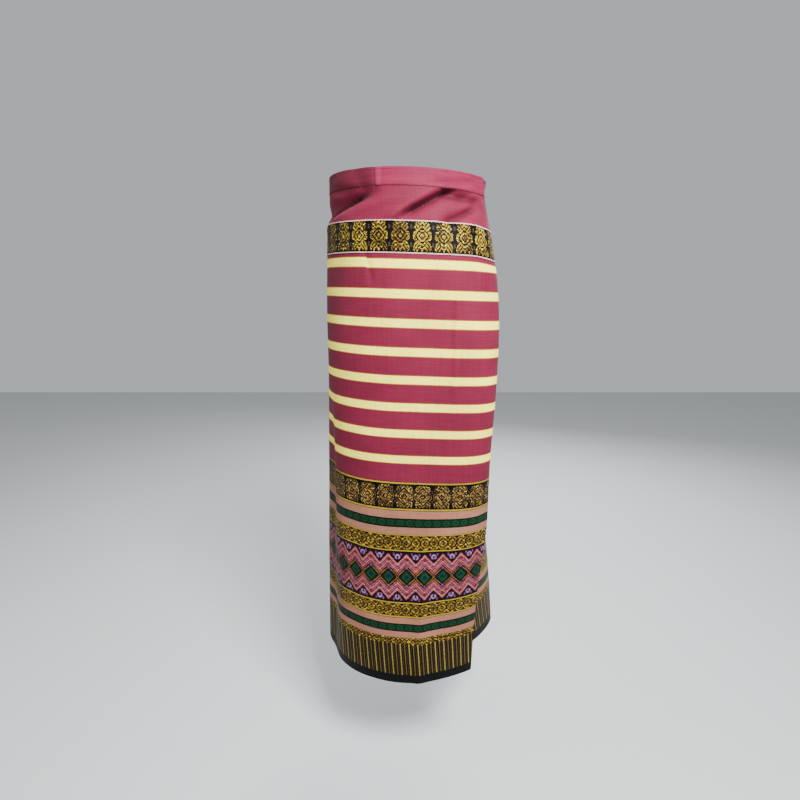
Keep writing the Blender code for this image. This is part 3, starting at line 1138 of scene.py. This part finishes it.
def strip_surface(levels, first, last):
    """Return the cloth surface from one column to another, short of the side seam."""
    points, out, across, level = cloth_surface(levels)
    if SEAM_COLUMN in (first, last):
        here = points[:, SEAM_COLUMN]
        toward = points[:, SEAM_COLUMN + (1 if first == SEAM_COLUMN else -1)]
        run = np.linalg.norm(toward - here, axis=1)[:, None]
        points[:, SEAM_COLUMN] = here + (toward - here) * (SEAM_GAP / 2.0 / run)
    return [values[:, first:last + 1] for values in (points, out, across, level)]


def shell(name, strip, start, end, first, last, proud, thickness):
    """Make one strip as a closed thin shell, from one column to another."""
    bands = BANDS[strip]
    top = start + (SEAM_GAP / 2.0 if start > 0.0 else 0.0)
    bottom = end - (SEAM_GAP / 2.0 if end < SKIRT_LENGTH else 0.0)
    later_starts = [band[0] for band in bands[1:]]
    levels, band_of_row = row_levels(top, later_starts + [bottom])
    points, out, across, level = strip_surface(levels, first, last)
    outer = (points + out * proud).reshape(-1, 3)
    inner = (points + out * (proud - thickness)).reshape(-1, 3)
    faces, face_bands, outside = shell_faces(band_of_row, points.shape[1])
    mesh = bpy.data.meshes.new(name)
    mesh.from_pydata(np.concatenate((outer, inner)).tolist(), [], faces.tolist())
    cloth = np.stack((across.reshape(-1), level.reshape(-1)), axis=-1)
    cloth = np.concatenate((cloth, cloth))[faces.reshape(-1)]
    layer = mesh.uv_layers.new(name="Cloth")
    layer.data.foreach_set("uv", cloth.astype(np.float32).reshape(-1))
    reverse = np.zeros(len(faces), np.float32)
    reverse[outside:2 * outside] = 1.0
    mesh.attributes.new("reverse", "FLOAT", "FACE").data.foreach_set("value", reverse)
    mesh.shade_smooth()
    mesh.set_sharp_from_angle(angle=math.radians(SHARP_ANGLE))
    for (band_start, band_name, painter), band_end in zip(bands, later_starts + [end]):
        mesh.materials.append(band_material(band_name, painter, band_start, band_end))
    mesh.polygons.foreach_set("material_index", face_bands)
    mesh.update()
    return add_object(name + "_cloth", mesh)


def stitch_faces():
    """Return the faces of one stitch, from its first end over two rings to its last end."""
    faces = []
    for side in range(STITCH_SIDES):
        near = 1 + side
        near_next = 1 + (side + 1) % STITCH_SIDES
        far = near + STITCH_SIDES
        far_next = near_next + STITCH_SIDES
        faces.append((0, near_next, near))
        faces.append((near, near_next, far_next))
        faces.append((near, far_next, far))
        faces.append((far, far_next, 2 * STITCH_SIDES + 1))
    return np.array(faces)


def along_row(places, runs, values):
    """Return points or directions at places along a row."""
    return np.stack([np.interp(places, runs, values[:, axis]) for axis in range(3)], axis=-1)


def stitches(name, level, dye):
    """Make one row of topstitching round the cloth at a level."""
    points, out, across, _ = cloth_surface([level])
    points, out = points[0] + out[0] * STITCH_PROUD, out[0]
    runs = across[0][0] - across[0]
    places = np.arange(STITCH_MARGIN, runs[-1] - STITCH_MARGIN, STITCH_PITCH)
    middle = along_row(places, runs, points)
    ahead = along_row(places + LOOK_AHEAD, runs, points)
    outward = along_row(places, runs, out)
    along = (ahead - middle) / np.linalg.norm(ahead - middle, axis=1)[:, None]
    upward = np.cross(outward, along)
    corners = [middle - along * STITCH_LENGTH / 2.0]
    for ring in STITCH_RINGS:
        for side in range(STITCH_SIDES):
            angle = math.radians(360.0 / STITCH_SIDES * side)
            aside = outward * math.cos(angle) + upward * math.sin(angle)
            corners.append(middle + along * STITCH_LENGTH * ring + aside * STITCH_RADIUS)
    corners.append(middle + along * STITCH_LENGTH / 2.0)
    vertices = np.stack(corners, axis=1).reshape(-1, 3)
    shifts = np.arange(len(places))[:, None, None] * len(corners)
    faces = (stitch_faces()[None] + shifts).reshape(-1, 3)
    mesh = bpy.data.meshes.new(name)
    mesh.from_pydata(vertices.tolist(), [], faces.tolist())
    mesh.shade_smooth()
    mesh.materials.append(thread_material(name, dye))
    row = add_object(name, mesh)
    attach(row, "root")
    return row


# Each strip's start, end, how far it stands proud, thickness and slot
STRIPS = {
    "waistband": (0.0, WAISTBAND_HEIGHT, 0.0005, BAND_SHELL, "waistband_cloth"),
    "yoke": (WAISTBAND_HEIGHT, YOKE_END, 0.0, SHELL, "yoke_cloth"),
    "edging_upper": (YOKE_END, BAND_TOP, 0.0010, EDGING_SHELL, "edging_cord"),
    "brocade": (BAND_TOP, BAND_FOOT, 0.0005, BAND_SHELL, "brocade_cloth"),
    "edging_lower": (BAND_FOOT, BROCADE_END, 0.0010, EDGING_SHELL, "edging_cord"),
    "body": (BROCADE_END, BODY_END, 0.0, SHELL, "striped_cloth"),
    "border": (BODY_END, BORDER_END, 0.0, SHELL, "border_cloth"),
    "hem": (BORDER_END, SKIRT_LENGTH, 0.0, SHELL, "hem_cloth"),
}
# Each piece's node, strip, first and last column, and the width of its flat cut
NODES = (
    ("waistband", "waistband", 0, LAST_COLUMN, 1.02),
    ("yoke_panel", "yoke", 0, SEAM_COLUMN, 0.78),
    ("yoke_underlap", "yoke", SEAM_COLUMN, LAST_COLUMN, 0.29),
    ("band_edging_upper", "edging_upper", 0, LAST_COLUMN, None),
    ("brocade_band", "brocade", 0, SEAM_COLUMN, 0.81),
    ("brocade_underlap", "brocade", SEAM_COLUMN, LAST_COLUMN, 0.30),
    ("band_edging_lower", "edging_lower", 0, LAST_COLUMN, None),
    ("body_panel", "body", 0, SEAM_COLUMN, 0.83),
    ("body_underlap", "body", SEAM_COLUMN, LAST_COLUMN, 0.32),
    ("border_panel", "border", 0, SEAM_COLUMN, 0.84),
    ("border_underlap", "border", SEAM_COLUMN, LAST_COLUMN, 0.34),
    ("hem_strip", "hem", 0, SEAM_COLUMN, 0.86),
    ("hem_underlap", "hem", SEAM_COLUMN, LAST_COLUMN, 0.35),
)
for node, strip, first, last, _ in NODES:
    start, end, proud, thickness, slot = STRIPS[strip]
    piece = shell(node, strip, start, end, first, last, proud, thickness)
    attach(piece, "root")
    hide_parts(node)
seams = [
    stitches("waistband_seam_stitches", SEAM_STITCH_LEVEL, "maroon"),
    stitches("waistband_edge_stitches", EDGE_STITCH_LEVEL, "maroon"),
]
for node, strip, _, _, flat_width in NODES:
    if flat_width:
        start, end = STRIPS[strip][:2]

near, far = -FLOOR_REACH, FLOOR_REACH
floor_mesh = bpy.data.meshes.new("floor")
floor_mesh.from_pydata(
    [(near, near, FLOOR_Z), (far, near, FLOOR_Z), (far, far, FLOOR_Z), (near, far, FLOOR_Z)],
    [], [(0, 1, 2, 3)],
)
floor_material, _, floor_shader = new_material("floor", FLOOR_ROUGHNESS)
floor_shader.inputs["Base Color"].default_value = linear(*FLOOR_COLOUR)
floor_mesh.materials.append(floor_material)
floor = add_object("floor", floor_mesh)

world = bpy.data.worlds.new("studio")
world.use_nodes = True
background = world.node_tree.nodes["Background"]
background.inputs[0].default_value = linear(*WORLD_COLOUR)
background.inputs[1].default_value = WORLD_STRENGTH
bpy.context.scene.world = world

for name, place, aim, size, power in LIGHTS:
    light = bpy.data.lights.new(name, "AREA")
    light.size = size
    light.energy = power
    lamp = add_object(name, light)
    lamp.location = place
    lamp.rotation_euler = (Vector(aim) - Vector(place)).to_track_quat("-Z", "Y").to_euler()

camera_data = bpy.data.cameras.new("camera")
camera_data.lens = CAMERA_LENS
camera_data.sensor_width = CAMERA_SENSOR
camera = add_object("camera", camera_data)
camera.location = CAMERA_PLACE
camera.rotation_euler = (math.radians(90.0 - CAMERA_TILT), 0.0, 0.0)
bpy.context.scene.camera = camera
